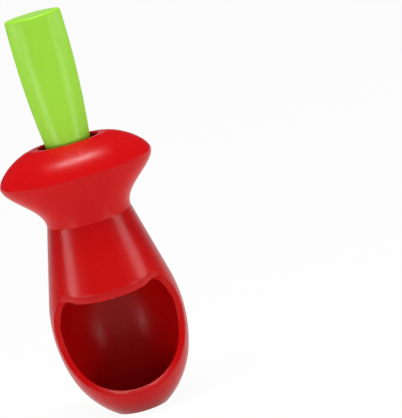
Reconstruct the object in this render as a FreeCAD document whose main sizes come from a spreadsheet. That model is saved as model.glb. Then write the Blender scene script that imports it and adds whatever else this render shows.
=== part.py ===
import FreeCAD, Part
import math
import os
import Sketcher

# Push-plunger cherry pitter, in millimetres.
# The origin is the centre of the flat foot, +Z runs up the plunger's axis and the cherry window faces -Y.

SIZES = [
    # barrel form
    ("belly_radius", 28.8, "widest radius of the barrel"),
    ("belly_height", 38.6, "height of the widest point"),
    ("belly_arc", 62.5, "radius of the profile through the belly"),
    ("base_arc", 39.7, "radius of the profile down to the foot"),
    ("base_turn", 16.8, "degrees below the belly where the base arc takes over"),
    ("neck_taper", 14.2, "degrees that the neck cone leans in"),
    ("neck_height", 86.8, "height of the joint between barrel and flange"),
    ("shell_wall", 2.8, "wall of the barrel"),
    ("floor_wall", 3.0, "thickness of the chamber floor"),
    ("throat_drop", 9.8, "depth under the joint where the neck closes in round the guide tube"),
    # cherry window
    ("scoop_plane", 7.7, "distance of the window's upright rim in front of the axis"),
    ("scoop_radius", 41.7, "radius of the scooped lower rim"),
    ("scoop_rise", 3.4, "height above the belly where the scooped rim starts"),
    ("window_rise", 15.4, "height of the window's inner top edge above the belly"),
    ("crown_radius", 19.5, "radius of the rim where it turns forward over the window"),
    ("roll_rise", 6.5, "height above the window's top edge where the wall starts to roll in"),
    ("roll_radius", 7.9, "radius of the rolled edge over the window"),
    ("roll_tilt", 7.5, "degrees that the rolled edge rises towards the sides"),
    ("corner_reach", 17.9, "sideways distance of the window's upper corners from the axis"),
    ("corner_front", 14.8, "distance of the window's upper corners in front of the axis"),
    ("corner_rise", 7.2, "height of the corners' centres above the belly"),
    ("corner_radius", 9.1, "radius of the window's upper corners"),
    ("corner_flare", 42.0, "degrees that the corners open outwards"),
    ("corner_turn", 46.9, "degrees that the corners turn away from the front"),
    ("rim_round", 0.5, "rounding of the window's rim"),
    # foot and fruit seat
    ("exit_radius", 6.0, "radius of the pit exit"),
    ("seat_hole", 8.6, "radius of the hole that carries the seat ring"),
    ("seat_recess", 9.6, "radius of the recess under the seat ring"),
    ("recess_depth", 1.0, "depth of the recess in the foot"),
    ("seat_flange", 9.9, "radius of the seat ring inside the chamber"),
    ("seat_rise", 2.2, "height of the seat ring above the chamber floor"),
    # neck joint
    ("spigot_radius", 16.9, "radius of the barrel's spigot"),
    ("spigot_length", 9.4, "height of the spigot above the joint"),
    ("neck_bore", 15.5, "bore that holds the guide tube"),
    ("ring_rise", 4.2, "height of the retaining ring's middle above the joint"),
    ("ring_thickness", 1.2, "height of the retaining ring"),
    ("ring_bite", 0.55, "depth of the retaining ring in each part"),
    ("ring_gap", 6.0, "width of the retaining ring's gap"),
    # finger flange
    ("skirt_height", 21.3, "height of the flange's edge above the joint"),
    ("dome_rise", 12.3, "height of the flange's top above its edge"),
    ("rim_width", 4.1, "land beside the slot"),
    ("rim_depth", 1.3, "land in front of the slot"),
    ("tip_reach", 33.5, "half width of the flange"),
    ("front_reach", 22.5, "half depth of the flange"),
    ("flange_wall", 2.4, "wall of the flange"),
    ("stop_rise", 4.7, "height of the plunger's upper stop above the flange's edge"),
    ("core_radius", 17.4, "radius of the solid core round the slot"),
    ("slot_half_width", 13.1, "half width of the slot"),
    ("slot_half_depth", 7.3, "half depth of the slot"),
    ("slot_round", 0.8, "rounding of the slot's edge"),
    # stem
    ("stem_length", 65.9, "length of the stem above the carriage"),
    ("stem_half_width", 12.47, "half width of the stem at its widest"),
    ("stem_half_depth", 6.2, "half depth of the stem"),
    ("stem_edge", 1.4, "rounding of the stem's side edges"),
    ("stem_shoulder", 12.9, "depth under the stem's top where it is widest"),
    ("stem_flank", 370.0, "radius of the stem's sides seen from the front"),
    ("stem_round", 1.3, "rounding of the stem's top"),
    ("tongue_radius", 4.7, "radius of the stem's tongue"),
    ("tongue_length", 6.3, "length of the stem's tongue"),
    # carriage
    ("bumper_gap", 0.2, "gap between bumper ring and upper stop at rest"),
    ("carriage_radius", 13.95, "radius of the carriage"),
    ("carriage_plate", 2.5, "thickness of the carriage's plate"),
    ("carriage_skirt", 10.5, "height of the carriage"),
    ("skirt_wall", 1.5, "wall of the carriage's skirt"),
    ("boss_radius", 9.6, "radius of the carriage's boss"),
    ("socket_depth", 8.0, "depth of the socket for the tongue"),
    ("bumper_height", 1.1, "thickness of the bumper ring"),
    ("bumper_inner", 9.6, "inner radius of the bumper ring"),
    ("bumper_outer", 13.2, "outer radius of the bumper ring"),
    ("pin_radius", 1.3, "radius of the cross pin"),
    ("pin_drop", 4.2, "depth of the cross pin under the carriage's top"),
    ("pin_half_length", 9.3, "half length of the cross pin"),
    # punch
    ("punch_radius", 2.5, "radius of the punch"),
    ("tip_show", 2.1, "length of the punch under its bush at rest"),
    ("tip_radius", 1.0, "radius of the punch's flat end"),
    ("tip_taper", 2.2, "height of the punch's tapered end"),
    ("punch_head", 4.0, "radius of the punch's shoulder"),
    ("head_height", 0.8, "thickness of the punch's shoulder"),
    ("punch_tail", 0.5, "height of the punch above its clip"),
    ("clip_radius", 4.3, "outer radius of the clip"),
    ("clip_thickness", 0.8, "thickness of the clip"),
    ("clip_groove", 0.6, "depth of the clip's groove in the punch"),
    ("clip_mouth", 2.6, "width of the clip's mouth"),
    # guide tube and bush
    ("tube_bore", 14.03, "bore of the guide tube"),
    ("tube_wall", 1.37, "wall of the guide tube"),
    ("tube_drop", 1.4, "depth of the guide tube's underside below the window's top edge"),
    ("tube_floor", 1.6, "thickness of the guide tube's floor"),
    ("tube_gap", 0.3, "gap between the guide tube and the upper stop"),
    ("roof_rise", 7.4, "height of the chamber roof's underside above the tube's"),
    ("roof_wall", 2.0, "thickness of the chamber roof"),
    ("roof_bite", 1.0, "depth of the chamber roof in the shells' groove"),
    ("bush_radius", 4.6, "radius of the guide bush"),
    ("bush_nose", 2.0, "length of the guide bush under the guide tube"),
    ("bush_flange", 7.6, "radius of the guide bush's flange"),
    ("bush_flange_height", 1.2, "thickness of the guide bush's flange"),
    ("wiper_radius", 3.85, "outer radius of the wiper ring"),
    ("wiper_height", 1.0, "thickness of the wiper ring"),
    ("stripper_height", 0.5, "thickness of the stripper ring"),
    # return spring
    ("wire_radius", 0.55, "radius of the spring wire"),
    ("coil_radius", 11.2, "mean radius of the spring"),
    ("active_turns", 5.5, "open turns of the spring"),
    ("closed_pitch", 1.6, "rise of each closed end turn"),
    ("washer_height", 0.8, "thickness of each spring washer"),
    ("washer_inner", 10.2, "inner radius of each spring washer"),
    ("washer_outer", 12.2, "outer radius of each spring washer"),
    # clearances
    ("fit_gap", 0.1, "clearance between pieces that plug together"),
    ("running_gap", 0.05, "clearance of the sliding punch and pin"),
]

doc = FreeCAD.newDocument("cherry_pitter")
sheet = doc.addObject("Spreadsheet::Sheet", "Sizes")
for row, (alias, size, meaning) in enumerate(SIZES, start=1):
    sheet.set(f"A{row}", alias)
    sheet.set(f"B{row}", str(size))
    sheet.set(f"C{row}", meaning)
    sheet.setAlias(f"B{row}", alias)
doc.recompute()

finished = []


def cell(alias):
    """The expression that reads one size from the sheet."""
    return f"Sizes.{alias}"


def number(text):
    """The present value of an expression over the sheet."""
    return float(sheet.evalExpression(str(text)))


def finish(piece, label):
    """Name a sub-part and put it on the list of files to write."""
    piece.Label = label
    finished.append(piece)
    return piece


def origin_plane(body, role):
    """The body's own origin plane of that role."""
    return next(f for f in body.Origin.OriginFeatures if f.Role == role)


def outline(body, role, corners, arcs=None):
    """A closed sketch: corners are pairs of expressions, arcs maps an edge to (radius, side).

    The side is 1 where the arc bulges to the left of its chord and -1 where it bulges to the right.
    """
    arcs = arcs or {}
    sketch = body.newObject("Sketcher::SketchObject", f"{body.Name}_outline")
    sketch.AttachmentSupport = [(origin_plane(body, role), "")]
    sketch.MapMode = "FlatFace"
    points = [FreeCAD.Vector(number(x), number(y), 0) for x, y in corners]
    starts, ends = [], []
    for i, start in enumerate(points):
        end = points[(i + 1) % len(points)]
        if i not in arcs:
            sketch.addGeometry(Part.LineSegment(start, end))
            starts.append((i, 1))
            ends.append((i, 2))
            continue
        radius, side = arcs[i]
        chord = end - start
        left = FreeCAD.Vector(-chord.y, chord.x, 0).normalize()
        reach = math.sqrt(number(radius) ** 2 - chord.Length ** 2 / 4)
        centre = start + chord * 0.5 - left * side * reach
        circle = Part.Circle(centre, FreeCAD.Vector(0, 0, 1), number(radius))
        first, last = (end, start) if side > 0 else (start, end)
        angles = [math.atan2(p.y - centre.y, p.x - centre.x) for p in (first, last)]
        if angles[1] < angles[0]:
            angles[1] += 2 * math.pi
        sketch.addGeometry(Part.ArcOfCircle(circle, angles[0], angles[1]))
        starts.append((i, 2 if side > 0 else 1))
        ends.append((i, 1 if side > 0 else 2))
    for i in range(len(points)):
        sketch.addConstraint(Sketcher.Constraint("Coincident", *ends[i], *starts[(i + 1) % len(points)]))
    for i, (x, y) in enumerate(corners):
        for kind, text, axis in (("DistanceX", x, -2), ("DistanceY", y, -1)):
            if str(text) == "0":
                sketch.addConstraint(Sketcher.Constraint("PointOnObject", *starts[i], axis))
                continue
            place = sketch.addConstraint(Sketcher.Constraint(kind, -1, 1, *starts[i], number(text)))
            sketch.setExpression(f"Constraints[{place}]", str(text))
    for i, (radius, side) in arcs.items():
        place = sketch.addConstraint(Sketcher.Constraint("Radius", i, number(radius)))
        sketch.setExpression(f"Constraints[{place}]", str(radius))
    return sketch


def turned(label, corners, arcs=None):
    """A body of revolution about Z from an outline of (radius, height) corners."""
    body = doc.addObject("PartDesign::Body", label)
    sketch = outline(body, "XZ_Plane", corners, arcs)
    turn = body.newObject("PartDesign::Revolution", f"{label}_turn")
    turn.Profile = sketch
    turn.ReferenceAxis = (sketch, ["V_Axis"])
    turn.Angle = 360
    return body


def ring_section(inner, outer, low, high):
    """The corners of a plain ring."""
    return [(inner, low), (outer, low), (outer, high), (inner, high)]


def cylinder(name, radius, low, high):
    """A cylinder on the axis between two heights."""
    solid = doc.addObject("Part::Cylinder", name)
    solid.setExpression("Radius", str(radius))
    solid.setExpression("Height", f"({high}) - ({low})")
    solid.setExpression(".Placement.Base.z", str(low))
    return solid


def oval(name, half_width, half_depth, height):
    """An elliptical section across the axis."""
    section = doc.addObject("Part::Ellipse", name)
    wide = number(half_width) >= number(half_depth)
    section.setExpression("MajorRadius", str(half_width if wide else half_depth))
    section.setExpression("MinorRadius", str(half_depth if wide else half_width))
    if not wide:
        section.Placement.Rotation = FreeCAD.Rotation(FreeCAD.Vector(0, 0, 1), 90)
    section.setExpression(".Placement.Base.z", str(height))
    return section


def lofted(name, sections):
    """A smooth solid through elliptical sections of (half width, half depth, height)."""
    solid = doc.addObject("Part::Loft", name)
    solid.Sections = [oval(f"{name}_{i}", *section) for i, section in enumerate(sections)]
    solid.Solid = True
    solid.Ruled = False
    return solid


def lens_loft(label, sections):
    """A body lofted through lens-shaped sections of (half width, half depth, height)."""
    body = doc.addObject("PartDesign::Body", label)
    edge = cell("stem_edge")
    sketches = []
    for wide, deep, height in sections:
        face = f"((({wide}) - {edge}) ^ 2 + ({deep}) ^ 2 - {edge} ^ 2) / (2 * (({deep}) - {edge}))"
        x = f"(({wide}) - {edge}) * ({face}) / (({face}) - {edge})"
        y = f"(({face}) - ({deep})) * {edge} / (({face}) - {edge})"
        corners = [(x, f"-({y})"), (x, y), (f"-({x})", y), (f"-({x})", f"-({y})")]
        sketch = outline(body, "XY_Plane", corners, {0: (edge, -1), 1: (face, -1), 2: (edge, -1), 3: (face, -1)})
        sketch.setExpression(".AttachmentOffset.Base.z", str(height))
        sketches.append(sketch)
    loft = body.newObject("PartDesign::AdditiveLoft", f"{label}_loft")
    loft.Profile = sketches[0]
    loft.Sections = sketches[1:]
    return body


def fused(name, *solids):
    """The union of several solids."""
    result = doc.addObject("Part::MultiFuse", name)
    result.Shapes = list(solids)
    return result


def cut(name, base, tool):
    """The base solid less the tool."""
    result = doc.addObject("Part::Cut", name)
    result.Base = base
    result.Tool = tool
    return result


# Heights that follow from the sizes.

neck = cell("neck_height")
throat = f"({neck} - {cell('throat_drop')})"
ring_middle = f"({neck} + {cell('ring_rise')})"
crease = f"({neck} + {cell('skirt_height')})"
top = f"({crease} + {cell('dome_rise')})"
stop = f"({crease} + {cell('stop_rise')})"
tube_top = f"({stop} - {cell('tube_gap')})"
plate_top = f"({stop} - {cell('bumper_gap')} - {cell('bumper_height')})"
stem_top = f"({plate_top} + {cell('stem_length')})"
stem_widest = f"({stem_top} - {cell('stem_shoulder')})"
scoop_height = f"({cell('belly_height')} + {cell('scoop_rise')})"
window_top = f"({cell('belly_height')} + {cell('window_rise')})"
tube_foot = f"({window_top} - {cell('tube_drop')})"
roof = f"({tube_foot} + {cell('roof_rise')})"
roof_top = f"({roof} + {cell('roof_wall')})"

# The barrel's profile: a base arc, a belly arc and the cone of the neck, at an offset into the wall.

arc_x = f"({cell('belly_radius')} - {cell('belly_arc')})"
base_x = f"({arc_x} + ({cell('belly_arc')} - {cell('base_arc')}) * cos({cell('base_turn')}))"
base_z = f"({cell('belly_height')} - ({cell('belly_arc')} - {cell('base_arc')}) * sin({cell('base_turn')}))"


def base_joint(offset):
    """Where the base arc hands over to the belly arc."""
    reach = f"({cell('belly_arc')} - {offset})"
    return (f"{arc_x} + {reach} * cos({cell('base_turn')})",
            f"{cell('belly_height')} - {reach} * sin({cell('base_turn')})")


def cone_joint(offset):
    """Where the belly arc hands over to the neck cone."""
    reach = f"({cell('belly_arc')} - {offset})"
    return (f"{arc_x} + {reach} * cos({cell('neck_taper')})",
            f"{cell('belly_height')} + {reach} * sin({cell('neck_taper')})")


def base_radius(height, offset):
    """Radius of the base arc at a height."""
    reach = f"({cell('base_arc')} - {offset})"
    return f"{base_x} + sqrt({reach} * {reach} - ({base_z} - {height}) * ({base_z} - {height}))"


def cone_radius(height, offset):
    """Radius of the neck cone at a height."""
    x, z = cone_joint(offset)
    return f"({x}) - (({height}) - ({z})) * tan({cell('neck_taper')})"


wall = cell("shell_wall")
gap = cell("fit_gap")
spigot = cell("spigot_radius")
spigot_top = f"{neck} + {cell('spigot_length')}"
groove = f"{spigot} - {cell('ring_bite')}"
ring_low = f"{ring_middle} - {cell('ring_thickness')} / 2"
ring_high = f"{ring_middle} + {cell('ring_thickness')} / 2"
roof_low = f"{roof} - {gap}"
roof_high = f"{roof_top} + {gap}"
roof_rim = f"({cone_radius(roof, wall)}) + {cell('roof_bite')}"
neck_bore = cell("neck_bore")
floor = cell("floor_wall")

barrel_corners = [
    (cell("seat_recess"), "0"),
    (base_radius("0", "0"), "0"),
    base_joint("0"),
    cone_joint("0"),
    (cone_radius(neck, "0"), neck),
    (spigot, neck),
    (spigot, f"{ring_low} - {gap}"),
    (f"{groove} - {gap}", f"{ring_low} - {gap}"),
    (f"{groove} - {gap}", f"{ring_high} + {gap}"),
    (spigot, f"{ring_high} + {gap}"),
    (spigot, spigot_top),
    (neck_bore, spigot_top),
    (neck_bore, throat),
    (cone_radius(throat, wall), throat),
    (cone_radius(roof_high, wall), roof_high),
    (f"{roof_rim} + {gap}", roof_high),
    (f"{roof_rim} + {gap}", roof_low),
    (cone_radius(roof_low, wall), roof_low),
    cone_joint(wall),
    base_joint(wall),
    (base_radius(floor, wall), floor),
    (cell("seat_hole"), floor),
    (cell("seat_hole"), cell("recess_depth")),
    (cell("seat_recess"), cell("recess_depth")),
]
barrel_arcs = {
    1: (cell("base_arc"), -1),
    2: (cell("belly_arc"), -1),
    18: (f"{cell('belly_arc')} - {wall}", 1),
    19: (f"{cell('base_arc')} - {wall}", 1),
}
barrel = turned("barrel_form", barrel_corners, barrel_arcs)

# The window: a scoop across the barrel, with the wall rolled in over its top edge.

scoop = doc.addObject("PartDesign::Body", "scoop")
front = f"-({cell('belly_radius')} * 2)"
arc_y = f"-({cell('scoop_plane')} + {cell('scoop_radius')})"
scoop_foot = f"{scoop_height} - {cell('scoop_radius')}"
crown_top = f"({scoop_height} + {cell('crown_radius')})"
scoop_sketch = outline(scoop, "YZ_Plane", [
    (f"-{cell('scoop_plane')}", scoop_height),
    (f"-({cell('scoop_plane')} + {cell('crown_radius')})", crown_top),
    (front, crown_top),
    (front, scoop_foot),
    (arc_y, scoop_foot),
], {0: (cell("crown_radius"), -1), 4: (cell("scoop_radius"), -1)})
scoop_pad = scoop.newObject("PartDesign::Pad", "scoop_pad")
scoop_pad.Profile = scoop_sketch
scoop_pad.Midplane = True
scoop_pad.setExpression("Length", f"{cell('belly_radius')} * 3")

roll_top = f"({window_top} + {cell('roll_rise')})"
roll_outer = f"({cone_radius(roll_top, '0')})"
roll_x = f"({roll_outer} - {cell('roll_radius')} * cos({cell('neck_taper')}))"
roll_low = f"({roll_top} - {cell('roll_radius')} * sin({cell('neck_taper')}) - {cell('roll_radius')})"
roll = turned("window_roll", [
    ("0", roll_low),
    (roll_x, roll_low),
    (roll_outer, roll_top),
    (f"{roll_outer} * 1.5", roll_top),
    (f"{roll_outer} * 1.5", f"{neck} + {wall}"),
    ("0", f"{neck} + {wall}"),
], {1: (cell("roll_radius"), -1)})
pivot = FreeCAD.Vector(0, -number(roll_outer), number(window_top))
tilt = FreeCAD.Rotation(FreeCAD.Vector(1, 0, 0), number(cell("roll_tilt")))
roll.Placement = FreeCAD.Placement(pivot - tilt.multVec(pivot), tilt)

corner_cone = doc.addObject("Part::Cone", "corner_cone")
corner_back = f"{cell('corner_radius')} / 4"
corner_slope = f"tan({cell('corner_flare')})"
corner_cone.setExpression("Radius1", f"{cell('corner_radius')} - {corner_back} * {corner_slope}")
corner_cone.setExpression("Radius2", f"{cell('corner_radius')} * (1 + {corner_slope})")
corner_cone.setExpression("Height", f"{cell('corner_radius')} * 1.25")
corner_box = doc.addObject("Part::Box", "corner_box")
corner_box.setExpression("Length", f"{cell('corner_radius')} * 2.75")
corner_box.setExpression("Width", f"{cell('corner_radius')} * 2.75")
corner_box.setExpression("Height", f"{cell('corner_radius')} * 1.25")
turn = math.radians(number(cell("corner_turn")))
outward = FreeCAD.Vector(math.sin(turn), -math.cos(turn), 0)
sideways = FreeCAD.Vector(math.cos(turn), math.sin(turn), 0)
corner_centre = FreeCAD.Vector(
    number(cell("corner_reach")),
    -number(cell("corner_front")),
    number(f"{cell('belly_height')} + {cell('corner_rise')}"),
)
corner_facing = FreeCAD.Rotation(sideways, FreeCAD.Vector(0, 0, 1), outward, "ZXY")
corner_start = corner_centre - outward * number(corner_back)
corner_cone.Placement = FreeCAD.Placement(corner_start, corner_facing)
corner_box.Placement = FreeCAD.Placement(corner_start, corner_facing)
corner = cut("window_corner", corner_box, corner_cone)
other_corner = doc.addObject("Part::Mirroring", "other_corner")
other_corner.Source = corner
other_corner.Normal = (1, 0, 0)
corners = fused("window_corners", corner, other_corner)
window_tool = cut("window_tool", cut("rolled_scoop", scoop, roll), corners)
open_barrel = cut("open_barrel", barrel, window_tool)
doc.recompute()


def edges_at(shape, test):
    """The numbers of the edges whose middle passes the test."""
    middles = [edge.valueAt((edge.FirstParameter + edge.LastParameter) / 2) for edge in shape.Edges]
    return [i for i, middle in enumerate(middles, start=1) if test(middle)]


def rounded(name, base, radius, test):
    """The base with the edges that pass the test rounded."""
    fillet = doc.addObject("Part::Fillet", name)
    fillet.Base = base
    fillet.Edges = [(i, number(radius), number(radius)) for i in edges_at(base.Shape, test)]
    return fillet


rimmed_barrel = rounded("rimmed_barrel", open_barrel, cell("rim_round"), lambda p: (
    abs(p.x) < number(wall)
    and p.y < -number(cell("scoop_plane"))
    and number(floor) < p.z < number(cell("belly_height"))
))


def half(name, solid, side):
    """The half of a solid in front of the axis (side -1) or behind it (side 1)."""
    block = doc.addObject("Part::Box", f"{name}_block")
    block.setExpression("Length", f"{cell('belly_radius')} * 4")
    block.setExpression("Width", f"{cell('belly_radius')} * 2")
    block.setExpression("Height", f"{spigot_top} + 20")
    block.setExpression(".Placement.Base.x", f"-{cell('belly_radius')} * 2")
    if side < 0:
        block.setExpression(".Placement.Base.y", f"-{cell('belly_radius')} * 2")
    block.Placement.Base.z = -10
    common = doc.addObject("Part::Common", name)
    common.Base = solid
    common.Tool = block
    return common


finish(half("front_shell", rimmed_barrel, -1), "front_shell")
finish(half("rear_shell", rimmed_barrel, 1), "rear_shell")

# The finger flange: skirt and cap are lofts that meet at the flange's edge, with the plunger's slot on top.

socket_radius = f"({spigot} + {gap})"
core = cell("core_radius")
collar_neck = cone_radius(neck, "0")
rim_width = f"({cell('slot_half_width')} + {cell('rim_width')})"
rim_depth = f"({cell('slot_half_depth')} + {cell('rim_depth')})"


def side_flare(share):
    """How far the skirt has flared sideways at a share of its height."""
    rise = share ** 1.15
    return rise * rise * (3 - 2 * rise)


def front_flare(share):
    """How far the skirt has flared to the front at a share of its height."""
    return share ** 2.7


def skirt_section(share, inset="0"):
    """A section of the skirt, drawn in by an inset."""
    sides, front_share = side_flare(share), front_flare(share)
    return (f"{collar_neck} + ({cell('tip_reach')} - ({collar_neck})) * {sides:.5f} - {inset}",
            f"{collar_neck} + ({cell('front_reach')} - ({collar_neck})) * {front_share:.5f} - {inset}",
            f"{neck} + ({crease} - {neck}) * {share:.5f}")


def side_dome(share):
    """How far the dome still reaches sideways at a share of its height."""
    return (1 - share ** 1.5) ** 0.72


def front_dome(share):
    """How far the dome still reaches to the front at a share of its height."""
    return 1 - 0.47 * share - 0.53 * share ** 3


def dome_section(share, inset="0", drop="0"):
    """A section of the dome, drawn in and lowered by the wall."""
    sides, front_share = side_dome(share), front_dome(share)
    return (f"{rim_width} + ({cell('tip_reach')} - {rim_width}) * {sides:.5f} - {inset}",
            f"{rim_depth} + ({cell('front_reach')} - {rim_depth}) * {front_share:.5f} - {inset}",
            f"{crease} + ({top} - {crease} - {drop}) * {share:.5f}")


skirt_form = lofted("skirt_form", [skirt_section(i / 8) for i in range(9)])
web_share = 0.55
pocket_wall = cell("flange_wall")
pocket_form = lofted("skirt_pocket", [skirt_section(s, f"{pocket_wall} * {w}") for s, w in
                                      ((web_share, 1.5), (0.7, 1.4), (0.85, 1.15), (1.0, 1))])
skirt_core = cylinder("skirt_core", core, neck, f"{crease} + {wall}")
skirt_ring = cut("skirt_ring", pocket_form, skirt_core)
socket_top = f"{spigot_top} + {gap}"
ring_out = f"{socket_radius} + {cell('ring_bite')}"
skirt_bore = turned("skirt_bore", [
    ("0", f"{neck} - {wall}"),
    (socket_radius, f"{neck} - {wall}"),
    (socket_radius, f"{ring_low} - {gap}"),
    (ring_out, f"{ring_low} - {gap}"),
    (ring_out, f"{ring_high} + {gap}"),
    (socket_radius, f"{ring_high} + {gap}"),
    (socket_radius, socket_top),
    (neck_bore, socket_top),
    (neck_bore, f"{crease} + {wall}"),
    ("0", f"{crease} + {wall}"),
])
collar_skirt = cut("collar_skirt", skirt_form, fused("skirt_voids", skirt_bore, skirt_ring))
finish(collar_skirt, "collar_skirt")

dome_form = lofted("dome_form", [dome_section(s) for s in
                                 (0, 0.12, 0.25, 0.38, 0.5, 0.62, 0.74, 0.86, 0.95, 1)])
dome_pocket = lofted("dome_pocket", [dome_section(s, pocket_wall, pocket_wall) for s in
                                     (0, 0.2, 0.4, 0.6, 0.75)])
dome_core = cylinder("dome_core", core, f"{crease} - {wall}", f"{top} + {wall}")
dome_ring = cut("dome_ring", dome_pocket, dome_core)
stop_bore = cylinder("stop_bore", neck_bore, f"{crease} - {wall}", stop)
slot_low = f"{stop} - {wall}"
slot_form = doc.addObject("Part::Extrusion", "slot_form")
slot_form.Base = oval("slot_oval", cell("slot_half_width"), cell("slot_half_depth"), slot_low)
slot_form.DirMode = "Custom"
slot_form.Dir = FreeCAD.Vector(0, 0, 1)
slot_form.setExpression("LengthFwd", f"{top} + {wall} - ({slot_low})")
slot_form.Solid = True
slotted_dome = cut("slotted_dome", dome_form, fused("cap_voids", stop_bore, dome_ring, slot_form))
doc.recompute()
finish(rounded("collar_cap", slotted_dome, cell("slot_round"), lambda p: (
    abs(p.z - number(top)) < number(gap)
    and math.hypot(p.x, p.y) < number(cell("slot_half_width")) + number(gap)
)), "collar_cap")

ring_body = turned("ring_form", ring_section(
    groove, f"{ring_out} - {gap}", ring_low, ring_high))
ring_gap_block = doc.addObject("Part::Box", "ring_gap_block")
ring_gap_block.setExpression("Length", cell("ring_gap"))
ring_gap_block.setExpression("Width", f"{spigot} * 2")
ring_gap_block.setExpression("Height", f"{cell('ring_thickness')} * 3")
ring_gap_block.setExpression(".Placement.Base.x", f"-{cell('ring_gap')} / 2")
ring_gap_block.setExpression(".Placement.Base.z", f"{ring_low} - {cell('ring_thickness')}")
finish(cut("retaining_ring", ring_body, ring_gap_block), "retaining_ring")

# The guide tube: it closes the top of the fruit chamber and guides the carriage.

tube_outer = f"({cell('tube_bore')} + {cell('tube_wall')})"
tube_floor_top = f"({tube_foot} + {cell('tube_floor')})"
bush = cell("bush_radius")
guide_tube = turned("guide_tube", [
    (f"{bush} + {gap}", tube_foot),
    (tube_outer, tube_foot),
    (tube_outer, roof),
    (roof_rim, roof),
    (roof_rim, f"{roof_top}"),
    (tube_outer, f"{roof_top}"),
    (tube_outer, tube_top),
    (cell("tube_bore"), tube_top),
    (cell("tube_bore"), tube_floor_top),
    (f"{bush} + {gap}", tube_floor_top),
])
finish(guide_tube, "guide_tube")

punch_bore = f"{cell('punch_radius')} + {cell('running_gap')}"
nose = f"({tube_foot} - {cell('bush_nose')})"
wiper_low = f"({nose} + {cell('stripper_height')})"
wiper_high = f"({wiper_low} + {cell('wiper_height')})"
wiper_seat = f"({cell('wiper_radius')} + {gap})"
guide_bush = turned("guide_bush", [
    (wiper_seat, nose),
    (bush, nose),
    (bush, tube_floor_top),
    (cell("bush_flange"), tube_floor_top),
    (cell("bush_flange"), f"{tube_floor_top} + {cell('bush_flange_height')}"),
    (punch_bore, f"{tube_floor_top} + {cell('bush_flange_height')}"),
    (punch_bore, wiper_high),
    (wiper_seat, wiper_high),
])
finish(guide_bush, "guide_bush")
finish(turned("wiper_ring", ring_section(
    punch_bore, cell("wiper_radius"), wiper_low, wiper_high)), "wiper_ring")
finish(turned("stripper_ring", ring_section(
    punch_bore, cell("wiper_radius"), nose, wiper_low)), "stripper_ring")

# The fruit seat in the foot.

seat_neck = f"({cell('seat_hole')} - {gap})"
seat_top = f"({floor} + {cell('seat_rise')})"
seat_ring = turned("seat_ring", [
    (cell("exit_radius"), f"{gap} * 2"),
    (f"{cell('seat_recess')} - {gap}", f"{gap} * 2"),
    (f"{cell('seat_recess')} - {gap}", cell("recess_depth")),
    (seat_neck, cell("recess_depth")),
    (seat_neck, floor),
    (cell("seat_flange"), floor),
    (cell("seat_flange"), f"{floor} + {cell('seat_rise')} / 2"),
    (f"{cell('exit_radius')} + {cell('seat_rise')} / 4", seat_top),
    (cell("exit_radius"), f"{floor} + {cell('seat_rise')} / 2"),
])
finish(seat_ring, "seat_ring")

# The carriage: piston, boss with the stem's socket, and the seat of the spring.

plate_low = f"({plate_top} - {cell('carriage_plate')})"
skirt_low = f"({plate_top} - {cell('carriage_skirt')})"
socket_floor = f"({plate_top} - {cell('socket_depth')})"
skirt_inner = f"({cell('carriage_radius')} - {cell('skirt_wall')})"
tongue_socket = f"({cell('tongue_radius')} + {gap})"
pin_height = f"({plate_top} - {cell('pin_drop')})"
carriage_form = turned("carriage_form", [
    (punch_bore, skirt_low),
    (cell("boss_radius"), skirt_low),
    (cell("boss_radius"), plate_low),
    (skirt_inner, plate_low),
    (skirt_inner, skirt_low),
    (cell("carriage_radius"), skirt_low),
    (cell("carriage_radius"), plate_top),
    (tongue_socket, plate_top),
    (tongue_socket, socket_floor),
    (punch_bore, socket_floor),
])


def cross_rod(name, radius, half_length):
    """A rod across the axis at the cross pin's height."""
    rod = doc.addObject("Part::Cylinder", name)
    rod.setExpression("Radius", str(radius))
    rod.setExpression("Height", f"2 * ({half_length})")
    rod.Placement.Rotation = FreeCAD.Rotation(FreeCAD.Vector(0, 1, 0), 90)
    rod.setExpression(".Placement.Base.x", f"-({half_length})")
    rod.setExpression(".Placement.Base.z", pin_height)
    return rod


pin_hole = f"{cell('pin_radius')} + {cell('running_gap')}"
carriage_hole = cross_rod("carriage_pin_hole", pin_hole, f"{cell('boss_radius')} + {gap}")
finish(cut("carriage", carriage_form, carriage_hole), "carriage")
finish(cross_rod("cross_pin", cell("pin_radius"), cell("pin_half_length")), "cross_pin")
finish(turned("bumper_ring", ring_section(
    cell("bumper_inner"), cell("bumper_outer"), plate_top, f"{plate_top} + {cell('bumper_height')}")),
    "bumper_ring")

# The stem: an oval paddle with bowed sides, on a round tongue that is pinned in the carriage.

round_over = cell("stem_round")


def stem_section(height, inset="0"):
    """A section of the stem at a height, drawn in by an inset."""
    drop = f"({height} - {stem_widest})"
    bow = f"{drop} * {drop} / (2 * {cell('stem_flank')})"
    return (f"{cell('stem_half_width')} - {bow} - {inset}", f"{cell('stem_half_depth')} - {inset}", height)


shaft_top = f"({stem_top} - {round_over})"
shaft_heights = [f"{plate_top} + ({shaft_top} - {plate_top}) * {i} / 5" for i in range(6)]
stem_shaft = lens_loft("stem_shaft", [stem_section(f"({z})") for z in shaft_heights])
crown_sections = []
for angle in (0, 22.5, 45, 67.5, 90):
    rise = f"{round_over} * sin({angle})"
    crown_sections.append(stem_section(f"({shaft_top} + {rise})", f"{round_over} * (1 - cos({angle}))"))
stem_crown = lens_loft("stem_crown", crown_sections)
tongue_low = f"{plate_top} - {cell('tongue_length')}"
tongue = cylinder("tongue", cell("tongue_radius"), tongue_low, f"{plate_top} + {round_over}")
stem_blank = fused("stem_blank", stem_shaft, stem_crown, tongue)
stem_hole = cross_rod("stem_pin_hole", pin_hole, f"{cell('tongue_radius')} + {wall}")
finish(cut("stem", stem_blank, stem_hole), "stem")

# The punch: a steel rod with a tapered end, a shoulder under the carriage and a clip over the socket's floor.

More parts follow.
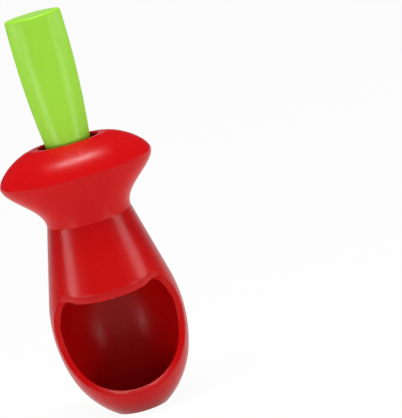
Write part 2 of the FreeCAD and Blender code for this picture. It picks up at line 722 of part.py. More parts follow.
tip = f"({nose} - {cell('tip_show')})"
rod_radius = cell("punch_radius")
clip_low = f"({socket_floor} + {gap})"
clip_high = f"({clip_low} + {cell('clip_thickness')})"
clip_root = f"({rod_radius} - {cell('clip_groove')})"
punch_end = f"({clip_high} + {cell('punch_tail')})"
punch = turned("punch", [
    ("0", tip),
    (cell("tip_radius"), tip),
    (rod_radius, f"{tip} + {cell('tip_taper')}"),
    (rod_radius, f"{skirt_low} - {cell('head_height')}"),
    (cell("punch_head"), f"{skirt_low} - {cell('head_height')}"),
    (cell("punch_head"), skirt_low),
    (rod_radius, skirt_low),
    (rod_radius, clip_low),
    (clip_root, clip_low),
    (clip_root, clip_high),
    (rod_radius, clip_high),
    (rod_radius, punch_end),
    ("0", punch_end),
])
finish(punch, "punch")
clip_form = turned("clip_form", ring_section(
    f"{clip_root} + {cell('running_gap')}", cell("clip_radius"), clip_low, clip_high))
clip_mouth = doc.addObject("Part::Box", "clip_mouth")
clip_mouth.setExpression("Length", cell("clip_mouth"))
clip_mouth.setExpression("Width", f"{cell('clip_radius')} * 2")
clip_mouth.setExpression("Height", f"{cell('clip_thickness')} * 3")
clip_mouth.setExpression(".Placement.Base.x", f"-{cell('clip_mouth')} / 2")
clip_mouth.setExpression(".Placement.Base.z", f"{clip_low} - {cell('clip_thickness')}")
finish(cut("punch_clip", clip_form, clip_mouth), "punch_clip")

# The return spring between its two washers: one wire with two closed end turns and open turns between.

lower_seat = f"({tube_floor_top} + {cell('washer_height')})"
upper_seat = f"({plate_low} - {cell('washer_height')})"
finish(turned("lower_spring_washer", ring_section(
    cell("washer_inner"), cell("washer_outer"), tube_floor_top, lower_seat)), "lower_spring_washer")
finish(turned("upper_spring_washer", ring_section(
    cell("washer_inner"), cell("washer_outer"), upper_seat, plate_low)), "upper_spring_washer")

wire = number(cell("wire_radius"))
coil = number(cell("coil_radius"))
open_turns = number(cell("active_turns"))
spring_low = number(lower_seat) + wire + number(gap)
spring_high = number(upper_seat) - wire - number(gap)
end_rise = number(cell("closed_pitch"))
open_rise = (spring_high - spring_low - 2 * end_rise) / open_turns
QUARTERS = 4


def wire_height(turn):
    """Height of the wire's centre line after a number of turns."""
    if turn <= 1:
        return spring_low + end_rise * turn
    if turn <= 1 + open_turns:
        return spring_low + end_rise + open_rise * (turn - 1)
    return spring_high - end_rise * (2 + open_turns - turn)


def wire_point(turn):
    """A place on the wire's centre line after a number of turns."""
    angle = 2 * math.pi * turn
    return FreeCAD.Vector(coil * math.cos(angle), coil * math.sin(angle), wire_height(turn))


def wire_heading(turn):
    """The wire's direction after a number of turns."""
    step = 0.01
    first, last = max(turn - step, 0), min(turn + step, 2 + open_turns)
    rise = (wire_height(last) - wire_height(first)) / (2 * math.pi * (last - first))
    angle = 2 * math.pi * turn
    return FreeCAD.Vector(-coil * math.sin(angle), coil * math.cos(angle), rise).normalize()


def biarc(start, start_way, end, end_way):
    """Two arcs that run from one heading to another and meet smoothly."""
    chord = end - start
    slope = chord.dot(start_way + end_way)
    spread = 2 * (1 - start_way.dot(end_way))
    reach = (math.sqrt(slope * slope + spread * chord.dot(chord)) - slope) / spread
    left = start + start_way * reach
    right = end - end_way * reach
    middle = (left + right) * 0.5
    arcs = []
    for first, way, last in ((start, start_way, middle), (middle, (right - left).normalize(), end)):
        span = last - first
        side = span - way * span.dot(way)
        radius = span.dot(span) / (2 * side.Length)
        centre = first + side.normalize() * radius
        crown = centre + ((first - centre) + (last - centre)).normalize() * radius
        arcs.append(Part.Arc(first, crown, last).toShape())
    return arcs


stations = [i / QUARTERS for i in range(int(round((2 + open_turns) * QUARTERS)) + 1)]
wire_edges = []
for first, last in zip(stations, stations[1:]):
    wire_edges += biarc(wire_point(first), wire_heading(first), wire_point(last), wire_heading(last))
wire_path = Part.Wire(wire_edges)
section = Part.Wire([Part.Circle(wire_point(0), wire_heading(0), wire).toShape()])
return_spring = doc.addObject("Part::Feature", "return_spring")
return_spring.Shape = wire_path.makePipeShell([section], True, False, 0)
finish(return_spring, "return_spring")

trail = [wire_point(i / 96) for i in range(int((2 + open_turns) * 96) + 1)]
nearest = min((trail[i] - trail[j]).Length
              for i in range(0, len(trail), 2) for j in range(i + 48, len(trail), 2))
print(f"return_spring: least gap to itself {nearest - 2 * wire:.2f} mm,"
      f" volume {return_spring.Shape.Volume:.1f} mm3,"
      f" section times length {math.pi * wire * wire * wire_path.Length:.1f} mm3")

doc.recompute()
for item in doc.Objects:
    if {"Invalid", "Error"} & set(item.State):
        raise RuntimeError(f"{item.Label} did not build: {item.State}")
for piece in finished:
    if piece.Shape.isNull() or not piece.Shape.isValid() or not piece.Shape.Solids:
        raise RuntimeError(f"{piece.Label} has no valid shape")
os.makedirs("parts", exist_ok=True)
for piece in finished:
    piece.Shape.exportStep(f"parts/{piece.Label}.step")
    box = piece.Shape.BoundBox
    print(f"{piece.Label}: {len(piece.Shape.Solids)} solid, {piece.Shape.Volume:.0f} mm3,"
          f" z {box.ZMin:.2f} to {box.ZMax:.2f}")
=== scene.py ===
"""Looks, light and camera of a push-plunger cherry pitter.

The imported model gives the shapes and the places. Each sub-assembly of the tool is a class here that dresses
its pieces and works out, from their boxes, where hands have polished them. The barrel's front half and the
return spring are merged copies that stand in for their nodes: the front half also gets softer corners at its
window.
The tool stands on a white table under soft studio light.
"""

from __future__ import annotations

import logging
import math
from dataclasses import dataclass, field, replace
from enum import Enum
from typing import Sequence, Union

import bmesh
import bpy
from mathutils import Matrix, Vector

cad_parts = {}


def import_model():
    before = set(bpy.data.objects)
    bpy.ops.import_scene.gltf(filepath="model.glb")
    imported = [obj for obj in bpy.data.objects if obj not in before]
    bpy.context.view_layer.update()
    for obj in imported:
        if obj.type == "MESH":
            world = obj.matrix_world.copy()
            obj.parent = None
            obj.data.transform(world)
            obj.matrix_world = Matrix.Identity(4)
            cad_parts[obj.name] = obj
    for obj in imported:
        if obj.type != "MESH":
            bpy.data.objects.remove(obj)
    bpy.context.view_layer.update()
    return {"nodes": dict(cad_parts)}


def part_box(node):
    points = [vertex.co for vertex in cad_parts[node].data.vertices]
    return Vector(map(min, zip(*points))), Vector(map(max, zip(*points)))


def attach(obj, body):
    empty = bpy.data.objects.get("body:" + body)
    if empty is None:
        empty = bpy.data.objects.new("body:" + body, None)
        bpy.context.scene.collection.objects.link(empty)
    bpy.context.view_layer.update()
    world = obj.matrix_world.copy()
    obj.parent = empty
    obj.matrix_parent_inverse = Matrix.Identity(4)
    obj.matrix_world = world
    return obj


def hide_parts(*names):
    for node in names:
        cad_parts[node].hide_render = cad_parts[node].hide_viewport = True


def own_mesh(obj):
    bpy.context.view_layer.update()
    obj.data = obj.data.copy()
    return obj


log = logging.getLogger("cherry_pitter")

Colour = tuple[float, float, float]
Point = tuple[float, float, float]
Feed = Union[bpy.types.NodeSocket, float, Sequence[float]]

MILLIMETRE = 0.001
NOISE_MIDDLE = 0.5
WHITE = (1.0, 1.0, 1.0)


def opaque(colour: Colour) -> tuple[float, float, float, float]:
    """Return a colour with full cover, as a colour socket takes it."""
    return (*colour, 1.0)


def grey(level: float) -> tuple[float, float, float, float]:
    """Return a neutral grey, as a colour socket takes it."""
    return opaque((level, level, level))


class Body(Enum):
    """The two bodies of the tool: the plunger slides in the barrel."""

    BARREL = "barrel"
    PLUNGER = "plunger"


class Marks(Enum):
    """What the making of a steel piece has left on its skin."""

    TURNED = "turned"
    TUMBLED = "tumbled"


class Nodes:
    """Shorthands for building one node tree."""

    def __init__(self, tree: bpy.types.NodeTree) -> None:
        """Keep the tree.

        Args:
            tree: The node tree that the nodes go into.
        """
        self.tree = tree

    def add(self, kind: str, **settings: Union[str, bool]) -> bpy.types.Node:
        """Add a node and set its properties.

        Args:
            kind: The node's type name.
            **settings: Values for the node's own properties.

        Returns:
            The new node.
        """
        node = self.tree.nodes.new(kind)
        for key, value in settings.items():
            setattr(node, key, value)
        return node

    def feed(self, socket: bpy.types.NodeSocket, value: Feed) -> None:
        """Link an output to a socket, or set a plain value on it.

        Args:
            socket: The input that is fed.
            value: Another node's output, or a number or colour.
        """
        if isinstance(value, bpy.types.NodeSocket):
            self.tree.links.new(value, socket)
        else:
            socket.default_value = value

    def math(self, operation: str, *values: Feed) -> bpy.types.NodeSocket:
        """Work out one number from up to three others.

        Args:
            operation: The math node's operation.
            *values: Outputs or numbers, in the node's order.

        Returns:
            The result's output.
        """
        node = self.add("ShaderNodeMath", operation=operation)
        for i, value in enumerate(values):
            self.feed(node.inputs[i], value)
        return node.outputs[0]

    def blend(self, low: Feed, high: Feed, share: Feed) -> bpy.types.NodeSocket:
        """Blend two colours.

        Args:
            low: The colour at share 0.
            high: The colour at share 1.
            share: How much of the second colour there is.

        Returns:
            The blended colour's output.
        """
        node = self.add("ShaderNodeMix", data_type="RGBA")
        self.feed(node.inputs["Factor"], share)
        self.feed(node.inputs["A"], low)
        self.feed(node.inputs["B"], high)
        return node.outputs["Result"]

    def ramp(
        self, value: Feed, start: Feed, end: Feed, low: float = 0.0, high: float = 1.0
    ) -> bpy.types.NodeSocket:
        """Turn a stretch of one number smoothly into a stretch of another.

        Args:
            value: The number that is read.
            start: Where the stretch starts.
            end: Where the stretch ends.
            low: The result before the start.
            high: The result past the end.

        Returns:
            The result's output.
        """
        node = self.add("ShaderNodeMapRange", interpolation_type="SMOOTHSTEP")
        self.feed(node.inputs["Value"], value)
        self.feed(node.inputs["From Min"], start)
        self.feed(node.inputs["From Max"], end)
        self.feed(node.inputs["To Min"], low)
        self.feed(node.inputs["To Max"], high)
        return node.outputs["Result"]

    def noise(self, place: Feed, scale: Feed, detail: float) -> bpy.types.NodeSocket:
        """Add a noise.

        Args:
            place: The coordinates that it follows.
            scale: How many clouds there are to the metre.
            detail: How many finer layers it has.

        Returns:
            The noise's value, around a half.
        """
        node = self.add("ShaderNodeTexNoise")
        self.feed(node.inputs["Vector"], place)
        self.feed(node.inputs["Scale"], scale)
        node.inputs["Detail"].default_value = detail
        return node.outputs["Fac"]

    def bump(self, height: Feed, depth: float) -> bpy.types.NodeSocket:
        """Bend the surface's normal after a height.

        Args:
            height: The height, which a depth multiplies.
            depth: How far a height of 1 stands out, in metres.

        Returns:
            The bent normal's output.
        """
        node = self.add("ShaderNodeBump")
        node.inputs["Distance"].default_value = depth
        self.feed(node.inputs["Height"], height)
        return node.outputs["Normal"]

    def object_place(self) -> bpy.types.NodeSocket:
        """Return the coordinates of the piece itself."""
        return self.add("ShaderNodeTexCoord").outputs["Object"]

    def mirrored(self, path: bpy.types.Node) -> bpy.types.NodeSocket:
        """Return 1 for glossy and transmission rays."""
        return self.math("MAXIMUM", path.outputs["Is Glossy Ray"], path.outputs["Is Transmission Ray"])


@dataclass(frozen=True)
class GroupSocket:
    """A named input of a shader group with its first value."""

    name: str
    default: float


class ShaderGroup:
    """A shader group that finishes share, which puts out numbers that change over the surface."""

    name: str
    inputs: tuple[GroupSocket, ...]
    outputs: tuple[str, ...]

    def tree(self) -> bpy.types.NodeTree:
        """Build the group the first time and give it back after that.

        Returns:
            The group's node tree.
        """
        found = bpy.data.node_groups.get(self.name)
        if found:
            return found
        tree = bpy.data.node_groups.new(self.name, "ShaderNodeTree")
        for item in self.inputs:
            made = tree.interface.new_socket(item.name, in_out="INPUT", socket_type="NodeSocketFloat")
            made.default_value = item.default
        for name in self.outputs:
            tree.interface.new_socket(name, in_out="OUTPUT", socket_type="NodeSocketFloat")
        nodes = Nodes(tree)
        entry, leave = nodes.add("NodeGroupInput"), nodes.add("NodeGroupOutput")
        for name, value in self.wire(nodes, entry.outputs).items():
            nodes.feed(leave.inputs[name], value)
        return tree

    def wire(self, nodes: Nodes, given: bpy.types.NodeOutputs) -> dict[str, bpy.types.NodeSocket]:
        """Build the inside of the group.

        Args:
            nodes: The group's tree.
            given: The group's inputs, as outputs of its entry node.

        Returns:
            The value of each of the group's outputs.
        """
        raise NotImplementedError

    def place(self, nodes: Nodes, **values: float) -> bpy.types.NodeOutputs:
        """Put the group into a material with its own values.

        Args:
            nodes: The material's tree.
            **values: The inputs' values, with _ for a space.

        Returns:
            The outputs of the placed group.
        """
        placed = nodes.add("ShaderNodeGroup")
        placed.node_tree = self.tree()
        for name, value in values.items():
            placed.inputs[name.replace("_", " ")].default_value = value
        return placed.outputs


class MouldedSkin(ShaderGroup):
    """The skin of a moulded piece: fine grain, and the slow swell that the flow leaves."""

    name = "moulded skin"
    inputs = (
        GroupSocket("Grain Scale", 4000.0),
        GroupSocket("Grain Depth", 1.0),
        GroupSocket("Flow Scale", 60.0),
        GroupSocket("Flow Depth", 1.0),
        GroupSocket("Roughness", 0.3),
        GroupSocket("Roughness Spread", 0.05),
    )
    outputs = ("Roughness", "Shade", "Height")
    grain_detail = 2.0
    flow_detail = 3.0

    def wire(self, nodes: Nodes, given: bpy.types.NodeOutputs) -> dict[str, bpy.types.NodeSocket]:
        """Build the inside of the group.

        Args:
            nodes: The group's tree.
            given: The group's inputs.

        Returns:
            Roughness, shade and height.
        """
        place = nodes.object_place()
        grain = nodes.noise(place, given["Grain Scale"], self.grain_detail)
        flow = nodes.noise(place, given["Flow Scale"], self.flow_detail)
        around_zero = nodes.math("SUBTRACT", flow, NOISE_MIDDLE)
        rough = nodes.math("MULTIPLY_ADD", around_zero, given["Roughness Spread"], given["Roughness"])
        fine = nodes.math("MULTIPLY", grain, given["Grain Depth"])
        height = nodes.math("MULTIPLY_ADD", flow, given["Flow Depth"], fine)
        return {"Roughness": rough, "Shade": flow, "Height": height}


class HandlingWear(ShaderGroup):
    """Where hands polish a piece, in patches, and the hairlines that they leave along its length."""

    name = "handling wear"
    inputs = (
        GroupSocket("Low", 0.0),
        GroupSocket("High", 0.01),
        GroupSocket("Polish", 0.03),
        GroupSocket("Hairlines", 0.05),
    )
    outputs = ("Roughness Change",)
    patch_scale = 180.0
    patch_detail = 2.0
    patch_edge = (0.35, 0.65)
    line_scale = 2600.0
    line_detail = 1.0
    line_edge = (0.62, 0.70)
    line_squeeze = (1.0, 1.0, 0.03)

    def wire(self, nodes: Nodes, given: bpy.types.NodeOutputs) -> dict[str, bpy.types.NodeSocket]:
        """Build the inside of the group.

        Args:
            nodes: The group's tree.
            given: The group's inputs.

        Returns:
            How much rougher the surface is: less than 0 where it is polished.
        """
        place = nodes.object_place()
        height = nodes.add("ShaderNodeSeparateXYZ")
        nodes.feed(height.inputs[0], place)
        zone = nodes.ramp(height.outputs["Z"], given["Low"], given["High"])
        patches = nodes.ramp(nodes.noise(place, self.patch_scale, self.patch_detail), *self.patch_edge)
        polish = nodes.math("MULTIPLY", nodes.math("MULTIPLY", zone, patches), given["Polish"])
        drawn_out = nodes.add("ShaderNodeMapping")
        nodes.feed(drawn_out.inputs["Vector"], place)
        drawn_out.inputs["Scale"].default_value = self.line_squeeze
        threads = nodes.noise(drawn_out.outputs[0], self.line_scale, self.line_detail)
        lines = nodes.ramp(threads, *self.line_edge)
        scratched = nodes.math("MULTIPLY", nodes.math("MULTIPLY", lines, zone), given["Hairlines"])
        return {"Roughness Change": nodes.math("SUBTRACT", scratched, polish)}


class Finish:
    """A material that is built once, under its own name."""

    name: str

    def material(self) -> bpy.types.Material:
        """Give the material, built the first time that it is asked for.

        Returns:
            The node material.
        """
        found = bpy.data.materials.get(self.name)
        if found:
            return found
        made = bpy.data.materials.new(self.name)
        made.use_nodes = True
        self.wire(Nodes(made.node_tree), made.node_tree.nodes["Principled BSDF"])
        return made

    def wire(self, nodes: Nodes, shader: bpy.types.Node) -> None:
        """Build the material's nodes.

        Args:
            nodes: The material's tree.
            shader: Its shader.
        """
        raise NotImplementedError


@dataclass(frozen=True)
class Plastic(Finish):
    """A moulded plastic or rubber: its colour, its gloss and how far its skin varies."""

    name: str
    colour: Colour
    deep: Colour
    roughness: float = 0.3
    ior: float = 1.5
    spread: float = 0.05
    grain: float = 0.00001
    flow: float = 0.00002
    handled: tuple[float, float] = (0.0, 0.0)
    polish: float = 0.04
    hairlines: float = 0.05

    def worn(self, low: float, high: float) -> Plastic:
        """Return this plastic with its polished stretch, which grows between two heights."""
        return replace(self, name=f"{self.name}, handled", handled=(low, high))

    def wire(self, nodes: Nodes, shader: bpy.types.Node) -> None:
        """Build the material's nodes.

        Args:
            nodes: The material's tree.
            shader: Its shader.
        """
        skin = MouldedSkin().place(
            nodes, Roughness=self.roughness, Roughness_Spread=self.spread, Flow_Depth=self.flow / self.grain)
        rough = skin["Roughness"]
        low, high = self.handled
        if high > low:
            wear = HandlingWear().place(
                nodes, Low=low, High=high, Polish=self.polish, Hairlines=self.hairlines)
            rough = nodes.math("ADD", rough, wear["Roughness Change"])
        nodes.feed(shader.inputs["Roughness"], rough)
        tint = nodes.blend(opaque(self.deep), opaque(self.colour), skin["Shade"])
        nodes.feed(shader.inputs["Base Color"], tint)
        nodes.feed(shader.inputs["Normal"], nodes.bump(skin["Height"], self.grain))
        shader.inputs["IOR"].default_value = self.ior


@dataclass(frozen=True)
class Steel(Finish):
    """A plain steel with the fine marks of its making."""

    name: str
    colour: Colour
    marks: Marks
    roughness: float = 0.28
    swing: float = 0.08
    mark_depth: float = 0.000004
    haze_scale: float = 1800.0
    haze_detail: float = 3.0
    ring_scale: float = 900.0
    ring_wander: float = 1.5

    def pattern(self, nodes: Nodes) -> bpy.types.NodeSocket:
        """Lay the marks over the surface: rings round a turned piece, an even haze on a tumbled one.

        Args:
            nodes: The material's tree.

        Returns:
            The marks' height, from 0 to 1.
        """
        place = nodes.object_place()
        if self.marks is Marks.TUMBLED:
            return nodes.noise(place, self.haze_scale, self.haze_detail)
        rings = nodes.add("ShaderNodeTexWave", bands_direction="Z")
        nodes.feed(rings.inputs["Vector"], place)
        rings.inputs["Scale"].default_value = self.ring_scale
        rings.inputs["Distortion"].default_value = self.ring_wander
        return rings.outputs["Fac"]

    def wire(self, nodes: Nodes, shader: bpy.types.Node) -> None:
        """Build the material's nodes.

        Args:
            nodes: The material's tree.
            shader: Its shader.
        """
        marks = self.pattern(nodes)
        rough = nodes.ramp(marks, 0.0, 1.0, self.roughness - self.swing, self.roughness + self.swing)
        nodes.feed(shader.inputs["Roughness"], rough)
        nodes.feed(shader.inputs["Normal"], nodes.bump(marks, self.mark_depth))
        shader.inputs["Base Color"].default_value = opaque(self.colour)
        shader.inputs["Metallic"].default_value = 1.0


RED = Plastic("red shell", (0.49, 0.0024, 0.0028), (0.46, 0.0020, 0.0024), roughness=0.27, ior=1.24)
# The flange's red below is the shell's red painted lighter and a little bluer: painted light standing in for
# the top lamp on the flange's dome.
FLANGE_RED_PAINTED_LIGHT = Plastic("red flange with painted light", (0.55, 0.0030, 0.0042), (0.52, 0.0026, 0.0036), roughness=0.29, ior=1.24)
GREEN = Plastic("green stem", (0.320, 0.665, 0.042), (0.300, 0.635, 0.038), roughness=0.26, ior=1.26)
NYLON = Plastic("natural nylon", (0.78, 0.75, 0.66), (0.74, 0.71, 0.62), roughness=0.45, ior=1.4)
TUBE_RED = Plastic("red tube", (0.30, 0.0030, 0.0045), (0.28, 0.0026, 0.0040), roughness=0.45, ior=1.35)
RED_RUBBER = Plastic("red silicone", (0.25, 0.004, 0.006), (0.22, 0.003, 0.005), roughness=0.55, ior=1.4)
WHITE_RUBBER = Plastic("white silicone", (0.72, 0.72, 0.68), (0.68, 0.68, 0.64), roughness=0.55, ior=1.4)
SPRING_STEEL = Steel("spring steel", (0.55, 0.56, 0.58), Marks.TUMBLED, 0.3)
BRIGHT_STEEL = Steel("bright steel", (0.72, 0.72, 0.74), Marks.TURNED, 0.22)


def in_scene(name: str, data: bpy.types.ID) -> bpy.types.Object:
    """Make an object and put it into the scene.

    Args:
        name: The object's name.
        data: Its mesh, lens or light.

    Returns:
        The new object.
    """
    made = bpy.data.objects.new(name, data)
    bpy.context.scene.collection.objects.link(made)
    return made


def in_triangles(form: bmesh.types.BMesh) -> None:
    """Cut every face of a mesh that has more than three corners into triangles."""
    bmesh.ops.triangulate(form, faces=[face for face in form.faces if len(face.verts) > 3])


@dataclass
class SubAssembly:
    """Pieces of the tool that are put together first and ride on one body."""

    nodes: dict[str, bpy.types.Object]
    body: Body = Body.BARREL
    seam: float = 0.001 * MILLIMETRE
    crease: float = 35.0

    def dress(self, name: str, finish: Finish) -> None:
        """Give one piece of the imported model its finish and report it.

        Args:
            name: The piece's node.
            finish: The finish that it takes.
        """
        slots = self.nodes[name].data.materials
        slots.clear()
        slots.append(finish.material())
        low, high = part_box(name)
        size = " x ".join(f"{(b - a) / MILLIMETRE:.1f}" for a, b in zip(low, high))
        log.info("%s on the %s: %s, %s mm", name, self.body.value, finish.name, size)

    def top(self, name: str) -> float:
        """Return the height of a piece's top."""
        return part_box(name)[1][2]

    def copied(self, name: str) -> bmesh.types.BMesh:
        """Copy a piece's mesh and close its seams.

        Args:
            name: The piece's node.

        Returns:
            The merged copy.
        """
        form = bmesh.new()
        form.from_mesh(self.nodes[name].data)
        bmesh.ops.remove_doubles(form, verts=form.verts, dist=self.seam)
        return form

    def stand_in(
        self, form: bmesh.types.BMesh, name: str, slot: str, finish: Finish
    ) -> bpy.types.Object:
        """Make a reshaped piece take the place of its node.

        Args:
            form: The piece's new mesh, which is used up.
            name: The node that it stands for.
            slot: The record's material slot; not used.
            finish: The finish that it takes.

        Returns:
            The piece, riding on the sub-assembly's body.
        """
        for face in form.faces:
            face.smooth = True
        for edge in form.edges:
            edge.smooth = edge.calc_face_angle(0.0) < math.radians(self.crease)
        mesh = bpy.data.meshes.new(f"dressed_{name}")
        form.to_mesh(mesh)
        form.free()
        mesh.materials.append(finish.material())
        piece = in_scene(mesh.name, mesh)
        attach(piece, self.body.value)
        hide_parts(name)
        count = len(mesh.polygons)
        log.info("%s on the %s: %s, %d faces", piece.name, self.body.value, finish.name, count)
        return piece

    def build(self) -> None:
        """Dress every piece of the sub-assembly."""
        raise NotImplementedError


@dataclass
class Barrel(SubAssembly):
    """The arc-profiled barrel in two halves, its rolled window, and the soft seat in its waist."""

    grip_height: float = 0.030
    lip_end: Point = (0.0198, -0.0176, 0.0574)
    lip_reach: float = 0.0050
    lip_mesh: float = 0.0006
    lip_rounds: int = 5
    lip_passes: int = 45
    lip_pull: float = 0.5
    lip_narrowing: float = 0.5
    shell: Plastic = RED
    seat: Plastic = RED_RUBBER

    def near_lip_end(self, point: Vector, reach: float) -> bool:
        """Tell whether a point lies within reach of either end of the window's lip."""
        return (Vector((abs(point.x), point.y, point.z)) - Vector(self.lip_end)).length < reach

    def refine_lip_ends(self, form: bmesh.types.BMesh) -> None:
        """Give the mesh small faces round both ends of the lip.

        Args:
            form: The front half's mesh.
        """
        for _ in range(self.lip_rounds):
            long_edges = [
                edge for edge in form.edges
                if edge.calc_length() > self.lip_mesh
                and self.near_lip_end(
                    (edge.verts[0].co + edge.verts[1].co) / 2, self.lip_reach + edge.calc_length() / 2)
            ]
            bmesh.ops.subdivide_edges(form, edges=long_edges, cuts=1)
            in_triangles(form)
            bmesh.ops.dissolve_degenerate(form, edges=form.edges, dist=self.seam)
            in_triangles(form)

    def front_half(self) -> bmesh.types.BMesh:
        """Copy the front half and blend both ends of the lip into the window's sides.

        Returns:
            The front half's mesh with soft corners.
        """
        form = self.copied("front_shell")
        self.refine_lip_ends(form)
        for i in range(self.lip_passes):
            reach = self.lip_reach * (1.0 - self.lip_narrowing * i / self.lip_passes)
            near = [vert for vert in form.verts if self.near_lip_end(vert.co, reach)]
            bmesh.ops.smooth_vert(
                form, verts=near, factor=self.lip_pull, use_axis_x=True, use_axis_y=True, use_axis_z=True)
        return form

    def build(self) -> None:
        """Build the front half and dress all of it, polished towards the neck where a hand holds it."""
        neck = self.top("front_shell")
        held = self.shell.worn(neck - self.grip_height, neck)
        self.stand_in(self.front_half(), "front_shell", "shell_red", held)
        self.dress("rear_shell", held)
        self.dress("seat_ring", self.seat)


@dataclass
class FingerFlange(SubAssembly):
    """The oval flange that two fingers pull on, with the dome over it and the ring that keeps it on."""

    finger_height: float = 0.009
    # The flange's red is the shell's red painted lighter: painted light where the dome faces the top lamp.
    moulding: Plastic = FLANGE_RED_PAINTED_LIGHT
    ring: Steel = SPRING_STEEL

    def build(self) -> None:
        """Dress the skirt and the dome in the red painted lighter for the top lamp's light, polished from
        where the fingers lie upwards, and the ring.
        """
        edge = self.top("collar_skirt")
        held = self.moulding.worn(edge - self.finger_height, edge)
        self.dress("collar_skirt", held)
        self.dress("collar_cap", held)
        self.dress("retaining_ring", self.ring)


@dataclass
class PunchGuide(SubAssembly):
    """The tube that the carriage runs in, with the bush, the wiper and the stripper round the punch."""

    tube: Plastic = TUBE_RED
    bush: Plastic = NYLON
    wiper: Plastic = WHITE_RUBBER
    stripper: Steel = BRIGHT_STEEL

    def build(self) -> None:
        """Dress the tube and what it holds."""
        self.dress("guide_tube", self.tube)
        self.dress("guide_bush", self.bush)
        self.dress("wiper_ring", self.wiper)
        self.dress("stripper_ring", self.stripper)


@dataclass
class ReturnSpring(SubAssembly):
    """The one-wire spring that lifts the plunger, on its lower washer."""

    stroke: float = 0.044
    wire: Steel = SPRING_STEEL

    def build(self) -> None:
        """Dress the washer and put a merged copy of the spring on it in place of its node."""
        self.dress("lower_spring_washer", self.wire)
        spring = self.stand_in(self.copied("return_spring"), "return_spring", "spring_steel", self.wire)
        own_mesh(spring)


@dataclass
class Plunger(SubAssembly):
    """The green stem, its carriage and cross pin, and the bumper and washer that travel with them."""

    body: Body = Body.PLUNGER
    thumb_height: float = 0.018
    moulding: Plastic = GREEN
    runner: Plastic = NYLON
    pin: Steel = BRIGHT_STEEL
    bumper: Plastic = WHITE_RUBBER
    washer: Steel = SPRING_STEEL

    def build(self) -> None:
        """Dress the stem, polished at its end where a thumb presses, and what it drives."""
        end = self.top("stem")
        self.dress("stem", self.moulding.worn(end - self.thumb_height, end))
        self.dress("carriage", self.runner)
        self.dress("cross_pin", self.pin)
        self.dress("bumper_ring", self.bumper)
        self.dress("upper_spring_washer", self.washer)


@dataclass
class Punch(SubAssembly):
    """The steel punch and the clip that holds it in the carriage."""

    body: Body = Body.PLUNGER
    rod: Steel = BRIGHT_STEEL
    clip: Steel = SPRING_STEEL

    def build(self) -> None:
        """Dress the rod and its clip."""
        self.dress("punch", self.rod)
        self.dress("punch_clip", self.clip)


@dataclass
class Camera:
    """The photograph's view: a long lens from the front, a little above, rolled to the left."""

    elevation: float = 12.5
    roll: float = 15.75
    picture_width: float = 0.17286
    distance: float = 3.0
    aim_right: float = 0.04685
    aim_up: float = 0.07418
    sensor_width: float = 36.0
    sight: float = 50.0

    def build(self) -> bpy.types.Object:
        """Place the camera and make it the scene's own.

        Returns:
            The camera object.
        """
        tilt, turn = math.radians(self.elevation), math.radians(self.roll)
        ahead = Vector((0.0, math.cos(tilt), -math.sin(tilt)))
        right, up = Vector((1.0, 0.0, 0.0)), Vector((0.0, math.sin(tilt), math.cos(tilt)))
        aim = right * self.aim_right + up * self.aim_up
        camera_right = right * math.cos(turn) - up * math.sin(turn)
        camera_up = right * math.sin(turn) + up * math.cos(turn)
        axes = Matrix((camera_right, camera_up, -ahead)).transposed().to_4x4()
        lens = bpy.data.cameras.new("camera")
        lens.sensor_fit = "HORIZONTAL"
        lens.sensor_width = self.sensor_width
        lens.lens = self.sensor_width * self.distance / self.picture_width
        lens.clip_end = self.sight
        camera = in_scene("camera", lens)
        camera.matrix_world = Matrix.Translation(aim - ahead * self.distance) @ axes
        bpy.context.scene.camera = camera
        return camera


@dataclass(frozen=True)
class Softbox:
    """One rectangular lamp: it stands at a place and faces a point."""

    name: str
    place: Point
    target: Point
    width: float
    height: float
    radiance: float
    mirrored: bool = True

    def build(self) -> bpy.types.Object:
        """Place the lamp, out of the lens's sight.

        Returns:
            The lamp object.
        """
        way = (Vector(self.place) - Vector(self.target)).normalized()
        light = bpy.data.lights.new(self.name, "AREA")
        light.shape = "RECTANGLE"
        light.size, light.size_y = self.width, self.height
        light.energy = self.radiance * math.pi * self.width * self.height
        lamp = in_scene(self.name, light)
        turned = way.to_track_quat("Z", "Y").to_matrix().to_4x4()
        lamp.matrix_world = Matrix.Translation(Vector(self.place)) @ turned
        lamp.visible_camera = False
        lamp.visible_glossy = self.mirrored
        return lamp


@dataclass(frozen=True)
class Strip:
    """An upright strip lamp beside the tool, at an angle from its front."""

    name: str
    azimuth: float
    low: float
    high: float
    radiance: float
    width: float = 0.17
    distance: float = 0.45

    def softbox(self) -> Softbox:
        """Work out the lamp's place.

        Returns:
            The lamp, facing the tool's axis.
        """
        turn = math.radians(self.azimuth)
        middle = (self.low + self.high) / 2
        place = (math.sin(turn) * self.distance, -math.cos(turn) * self.distance, middle)
        aim = (0.0, 0.0, middle)
        return Softbox(self.name, place, aim, self.width, self.high - self.low, self.radiance)

    def build(self) -> bpy.types.Object:
        """Place the lamp and return it."""
        return self.softbox().build()


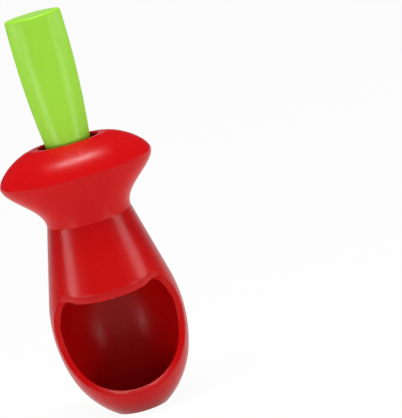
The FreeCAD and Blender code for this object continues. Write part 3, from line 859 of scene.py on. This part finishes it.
@dataclass
class Studio:
    """The white table, the lamps and the surroundings."""

    ambient: float = 0.22
    room: Colour = (0.09, 0.08, 0.12)
    backdrop_edge: tuple[float, float] = (0.975, 0.998)
    floor_size: float = 6.0
    floor_grey: float = 0.78
    floor_white: float = 0.95
    floor_roughness: float = 0.9
    lamps: Sequence[Union[Softbox, Strip]] = field(default_factory=lambda: (
        Strip("left_strip", -72.0, 0.10, 0.172, 13.0),
        Strip("right_strip", 72.0, 0.10, 0.172, 12.0),
        Strip("left_stem_strip", -48.0, 0.005, 0.085, 10.5, width=0.15),
        Strip("right_stem_strip", 49.0, 0.005, 0.085, 9.5, width=0.15),
        Softbox("top_box", (0.03, -0.10, 0.85), (0.0, 0.0, 0.10), 0.36, 0.14, 34.0),
        Softbox("low_fill", (0.0, -0.90, 0.05), (0.0, 0.0, 0.05), 0.9, 0.24, 2.0, mirrored=False),
    ))

    def surround(self) -> None:
        """Make the world white to the lens and behind the tool, and a dim even room elsewhere."""
        world = bpy.data.worlds.new("studio")
        bpy.context.scene.world = world
        world.use_nodes = True
        nodes = Nodes(world.node_tree)
        back = world.node_tree.nodes["Background"]
        path = nodes.add("ShaderNodeLightPath")
        way = nodes.add("ShaderNodeSeparateXYZ")
        nodes.feed(way.inputs[0], nodes.add("ShaderNodeTexCoord").outputs["Generated"])
        behind = nodes.ramp(way.outputs["Y"], *self.backdrop_edge)
        seen = nodes.blend(opaque(self.room), opaque(WHITE), behind)
        indirect = nodes.blend(grey(self.ambient), seen, nodes.mirrored(path))
        shown = nodes.blend(indirect, opaque(WHITE), path.outputs["Is Camera Ray"])
        nodes.feed(back.inputs["Color"], shown)
        back.inputs["Strength"].default_value = 1.0

    def table(self) -> bpy.types.Object:
        """Lay the white table under the foot.

        Returns:
            The table's object.
        """
        mesh = bpy.data.meshes.new("table")
        form = bmesh.new()
        bmesh.ops.create_grid(form, x_segments=1, y_segments=1, size=self.floor_size / 2)
        form.to_mesh(mesh)
        form.free()
        table = in_scene("table", mesh)
        material = bpy.data.materials.new("white table")
        material.use_nodes = True
        nodes = Nodes(material.node_tree)
        shader = material.node_tree.nodes["Principled BSDF"]
        shader.inputs["Base Color"].default_value = grey(self.floor_grey)
        shader.inputs["Roughness"].default_value = self.floor_roughness
        shader.inputs["Specular IOR Level"].default_value = 0.0
        glow = nodes.add("ShaderNodeEmission")
        path = nodes.add("ShaderNodeLightPath")
        seen = nodes.math("MAXIMUM", path.outputs["Is Camera Ray"], nodes.mirrored(path))
        mix = nodes.add("ShaderNodeMixShader")
        nodes.feed(mix.inputs["Fac"], nodes.math("MULTIPLY", seen, self.floor_white))
        nodes.feed(mix.inputs[1], shader.outputs["BSDF"])
        nodes.feed(mix.inputs[2], glow.outputs["Emission"])
        nodes.feed(material.node_tree.nodes["Material Output"].inputs["Surface"], mix.outputs["Shader"])
        table.data.materials.append(material)
        return table

    def build(self) -> None:
        """Set up the surroundings, the table, the lamps and the view's colours."""
        bpy.context.scene.view_settings.view_transform = "Standard"
        self.surround()
        self.table()
        for lamp in self.lamps:
            lamp.build()


def main() -> None:
    """Load the frame, build the sub-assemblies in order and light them."""
    logging.basicConfig(level=logging.INFO, format="%(name)s: %(message)s")
    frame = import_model()
    for kind in (Barrel, FingerFlange, PunchGuide, ReturnSpring, Plunger, Punch):
        log.info("building the %s", kind.__name__)
        kind(frame["nodes"]).build()
    Studio().build()
    Camera().build()


if __name__ == "__main__":
    main()
